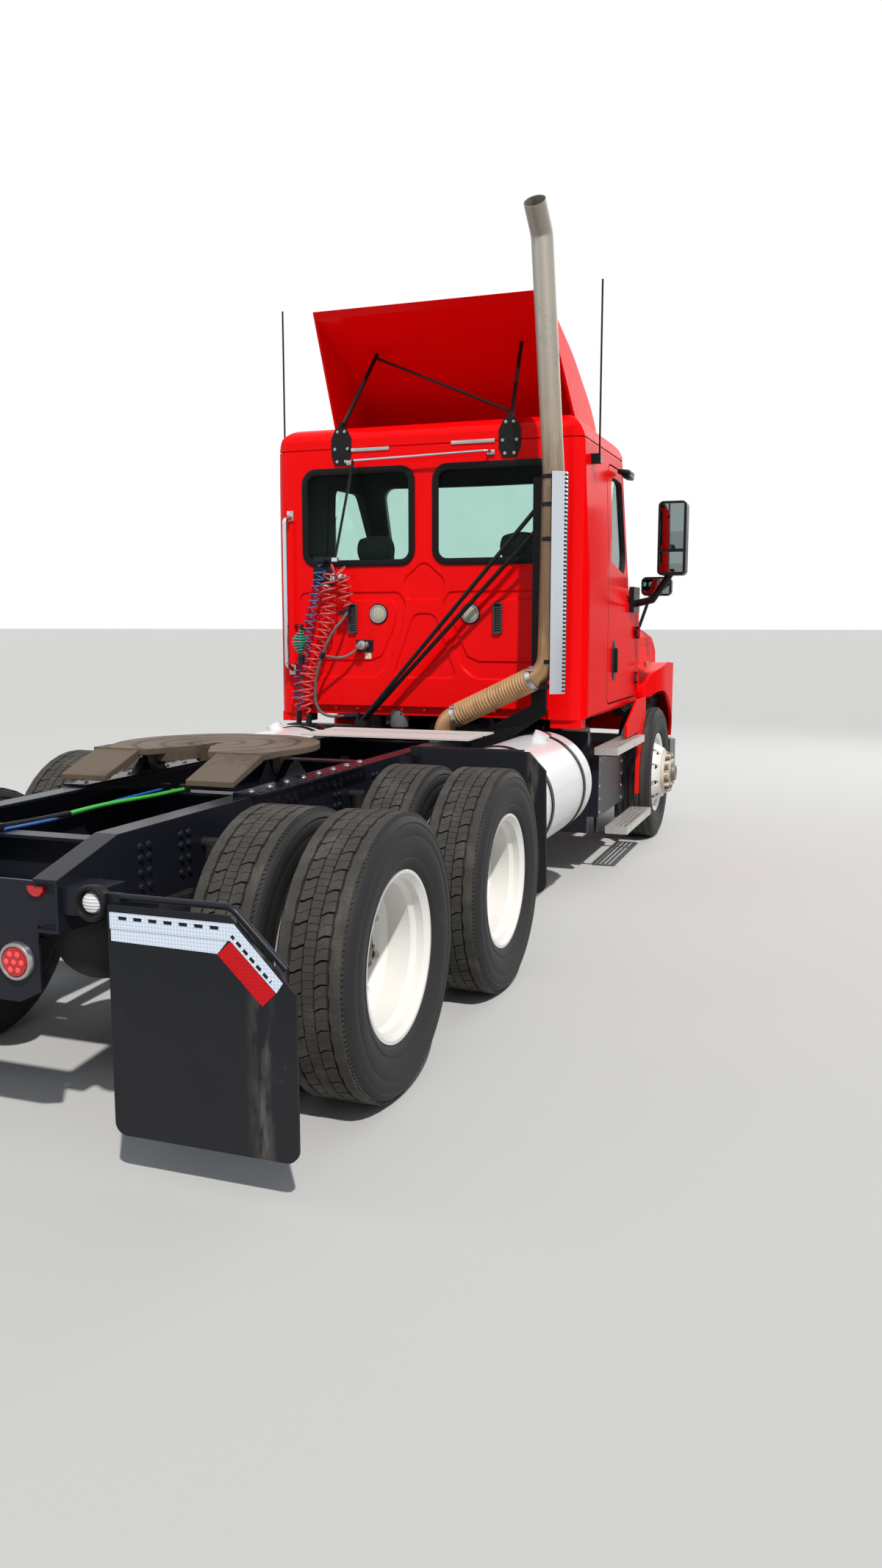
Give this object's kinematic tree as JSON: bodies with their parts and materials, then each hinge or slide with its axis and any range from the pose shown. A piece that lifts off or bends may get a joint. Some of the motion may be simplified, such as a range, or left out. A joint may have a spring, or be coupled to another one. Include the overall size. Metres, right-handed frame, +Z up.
{
  "type": "semi truck tractor unit",
  "caption": "Bonneted day cab road tractor with tandem drive axles, roof deflector, exhaust stack and fifth wheel coupling.",
  "frame": {"origin": "on the ground under the middle of the vehicle's length and width", "axes": "+X forward, +Y to the vehicle's left, +Z up"},
  "size_m": [7.584, 2.98, 4.106],
  "materials": {
    "red_paint": "glossy red",
    "white_paint": "white enamel",
    "black_steel": "black chassis paint",
    "greased_iron": "worn and greased",
    "engine_grey": "plain",
    "tyre_rubber": "matt",
    "black_rubber": "matt",
    "black_plastic": "grained",
    "grey_plastic": "grained",
    "tread_aluminium": "bare",
    "chrome": "polished",
    "stack_steel": "heat stained",
    "clear_glass": "tinted",
    "lamp_red": "clear over red",
    "lamp_clear": "clear",
    "seat_fabric": "woven",
    "hose_red": "nylon",
    "hose_blue": "nylon",
    "hose_green": "nylon"
  },
  "bodies": {
    "chassis": {"aerials": "black_plastic", "axles": "black_steel", "bumper": "grey_plastic", "cab_glass": "clear_glass", "cab_interior": "grey_plastic", "cab_roof": "red_paint", "cab_shell": "red_paint", "chrome_rails": "chrome", "deck_plates": "tread_aluminium", "deflector_struts": "black_steel", "driveline": "engine_grey", "exhaust_stack": "stack_steel", "fender_panels": "red_paint", "fifth_wheel_mounts": "black_steel", "flap_hangers": "black_steel", "frame": "black_steel", "fuel_tanks": "white_paint", "heat_shield": "chrome", "hose_blue": "hose_blue", "hose_cable": "black_rubber", "hose_fittings": "black_steel", "hose_green": "hose_green", "hose_lead": "black_rubber", "hose_red": "hose_red", "mud_flaps": "black_rubber", "rear_wall_fittings": "lamp_clear", "roof_deflector": "red_paint", "seats": "seat_fabric", "stack_bracket": "black_steel", "step_boxes": "black_steel", "steps": "tread_aluminium", "suspension": "black_steel", "tail_lamps": "lamp_red", "tank_straps": "black_steel"},
    "drive_wheels_front_left": {"drive_rims_front_left": "white_paint", "drive_tyres_front_left": "tyre_rubber"},
    "drive_wheels_front_right": {"drive_rims_front_right": "white_paint", "drive_tyres_front_right": "tyre_rubber"},
    "drive_wheels_rear_left": {"drive_rims_rear_left": "white_paint", "drive_tyres_rear_left": "tyre_rubber"},
    "drive_wheels_rear_right": {"drive_rims_rear_right": "white_paint", "drive_tyres_rear_right": "tyre_rubber"},
    "knuckle_left": {"knuckle_left": "black_steel"},
    "steer_wheel_left": {"steer_rim_left": "white_paint", "steer_tyre_left": "tyre_rubber"},
    "door_left": {"door_left": "red_paint", "door_glass_left": "clear_glass", "door_mirror_left": "black_plastic"},
    "knuckle_right": {"knuckle_right": "black_steel"},
    "steer_wheel_right": {"steer_rim_right": "white_paint", "steer_tyre_right": "tyre_rubber"},
    "door_right": {"door_right": "red_paint", "door_glass_right": "clear_glass", "door_mirror_right": "black_plastic"},
    "tie_rod": {"tie_rod": "black_steel"},
    "hood": {"hood": "red_paint", "grille": "black_plastic", "head_lamps": "lamp_clear", "hood_mirrors": "black_plastic"},
    "fifth_wheel": {"fifth_wheel_plate": "greased_iron"}
  },
  "joints": [
    {"name": "drive_wheel_front_left_spin", "type": "hinge", "parent": "chassis", "child": "drive_wheels_front_left", "pos_m": [-1.54, 0.9085, 0.522], "axis": [0, 1, 0], "continuous": true},
    {"name": "drive_wheel_front_right_spin", "type": "hinge", "parent": "chassis", "child": "drive_wheels_front_right", "pos_m": [-1.54, -0.9085, 0.522], "axis": [0, 1, 0], "continuous": true},
    {"name": "drive_wheel_rear_left_spin", "type": "hinge", "parent": "chassis", "child": "drive_wheels_rear_left", "pos_m": [-2.86, 0.9085, 0.522], "axis": [0, 1, 0], "continuous": true},
    {"name": "drive_wheel_rear_right_spin", "type": "hinge", "parent": "chassis", "child": "drive_wheels_rear_right", "pos_m": [-2.86, -0.9085, 0.522], "axis": [0, 1, 0], "continuous": true},
    {"name": "steer_left", "type": "hinge", "parent": "chassis", "child": "knuckle_left", "pos_m": [2.72, 0.89, 0.46], "axis": [0, 0, 1], "range_deg": [-35, 35]},
    {"name": "steer_wheel_left_spin", "type": "hinge", "parent": "knuckle_left", "child": "steer_wheel_left", "pos_m": [2.72, 1.07, 0.522], "axis": [0, 1, 0], "continuous": true},
    {"name": "steer_right", "type": "hinge", "parent": "chassis", "child": "knuckle_right", "pos_m": [2.72, -0.89, 0.46], "axis": [0, 0, 1], "range_deg": [-35, 35]},
    {"name": "steer_wheel_right_spin", "type": "hinge", "parent": "knuckle_right", "child": "steer_wheel_right", "pos_m": [2.72, -1.07, 0.522], "axis": [0, 1, 0], "continuous": true},
    {"name": "tie_rod_pivot", "type": "hinge", "parent": "knuckle_left", "child": "tie_rod", "pos_m": [2.54, 0.89, 0.35], "axis": [0, 0, 1], "range_deg": [-35, 35]},
    {"name": "door_left_hinge", "type": "hinge", "parent": "chassis", "child": "door_left", "pos_m": [2.25, 1.093, 1.47], "axis": [0, 0, -1], "range_deg": [0, 70]},
    {"name": "door_right_hinge", "type": "hinge", "parent": "chassis", "child": "door_right", "pos_m": [2.25, -1.093, 1.47], "axis": [0, 0, 1], "range_deg": [0, 70]},
    {"name": "hood_tilt", "type": "hinge", "parent": "chassis", "child": "hood", "pos_m": [3.74, 0, 0.65], "axis": [0, 1, 0], "range_deg": [0, 75]},
    {"name": "fifth_wheel_tilt", "type": "hinge", "parent": "chassis", "child": "fifth_wheel", "pos_m": [-2.08, 0, 1.09], "axis": [0, 1, 0], "range_deg": [-3, 9]}
  ],
  "couplings": [
    {"joint": "steer_right", "follows": "steer_left", "ratio": 1},
    {"joint": "tie_rod_pivot", "follows": "steer_left", "ratio": -1}
  ]
}
